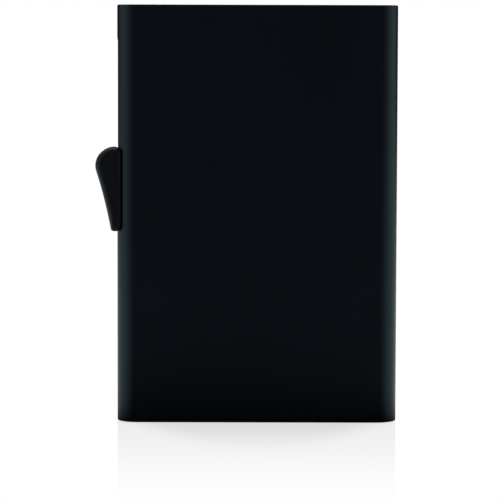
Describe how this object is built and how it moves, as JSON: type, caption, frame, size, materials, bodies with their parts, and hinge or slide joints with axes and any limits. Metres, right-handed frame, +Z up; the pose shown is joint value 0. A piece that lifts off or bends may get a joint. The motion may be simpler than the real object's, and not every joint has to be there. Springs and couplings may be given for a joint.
{
  "type": "minimalist wallet",
  "caption": "Slim black aluminium card holder that stands upright, with a thumb lever on one long side that slides up to lift and fan the cards out of the open top.",
  "frame": {"origin": "centre of the closed bottom face, which the case stands on", "axes": "+Z up, from the closed bottom to the card mouth; +X to the right seen from the front, so the thumb lever is on -X; the front face looks along -Y"},
  "size_m": [0.0689, 0.0084, 0.0952],
  "materials": {
    "anodised_aluminium": "black satin anodised, fine bead-blast",
    "black_abs": "moulded, fine satin texture",
    "black_pom": "moulded, slightly waxy",
    "natural_pom": "moulded, slightly waxy",
    "grey_felt": "short-fibre felt",
    "spring_steel": "bright rolled strip",
    "stainless_sheet": "fine brushed",
    "steel_pins": "ground and polished"
  },
  "bodies": {
    "case": {"case_sleeve": "anodised_aluminium", "base_plug": "black_abs", "mouth_frame": "black_abs", "left_rail": "black_pom", "right_rail": "black_pom", "front_felt_pad": "grey_felt", "rear_felt_pad": "grey_felt", "detent_spring": "spring_steel"},
    "carriage": {"thumb_lever": "black_abs", "lever_dowels": "steel_pins", "slider_bar": "stainless_sheet", "bar_rivets": "steel_pins", "guide_runner": "natural_pom", "runner_rivets": "steel_pins", "lift_blade_1": "stainless_sheet", "blade_pegs_1": "steel_pins"},
    "lifter_2": {"lift_blade_2": "stainless_sheet", "blade_pegs_2": "steel_pins"},
    "lifter_3": {"lift_blade_3": "stainless_sheet", "blade_pegs_3": "steel_pins"},
    "lifter_4": {"lift_blade_4": "stainless_sheet", "blade_pegs_4": "steel_pins"},
    "lifter_5": {"lift_blade_5": "stainless_sheet", "blade_pegs_5": "steel_pins"},
    "lifter_6": {"lift_blade_6": "stainless_sheet"}
  },
  "joints": [
    {"name": "lever_slide", "type": "slide", "parent": "case", "child": "carriage", "axis": [0, 0, 1], "range_m": [0, 0.028], "deforming": ["detent_spring"]},
    {"name": "lifter_2_slide", "type": "slide", "parent": "case", "child": "lifter_2", "axis": [0, 0, 1], "range_m": [0, 0.0244]},
    {"name": "lifter_3_slide", "type": "slide", "parent": "case", "child": "lifter_3", "axis": [0, 0, 1], "range_m": [0, 0.0208]},
    {"name": "lifter_4_slide", "type": "slide", "parent": "case", "child": "lifter_4", "axis": [0, 0, 1], "range_m": [0, 0.0172]},
    {"name": "lifter_5_slide", "type": "slide", "parent": "case", "child": "lifter_5", "axis": [0, 0, 1], "range_m": [0, 0.0136]},
    {"name": "lifter_6_slide", "type": "slide", "parent": "case", "child": "lifter_6", "axis": [0, 0, 1], "range_m": [0, 0.01]}
  ],
  "couplings": [
    {"joint": "lifter_2_slide", "follows": "lever_slide", "ratio": 0.87143},
    {"joint": "lifter_3_slide", "follows": "lever_slide", "ratio": 0.74286},
    {"joint": "lifter_4_slide", "follows": "lever_slide", "ratio": 0.61428},
    {"joint": "lifter_5_slide", "follows": "lever_slide", "ratio": 0.48571},
    {"joint": "lifter_6_slide", "follows": "lever_slide", "ratio": 0.35714}
  ]
}
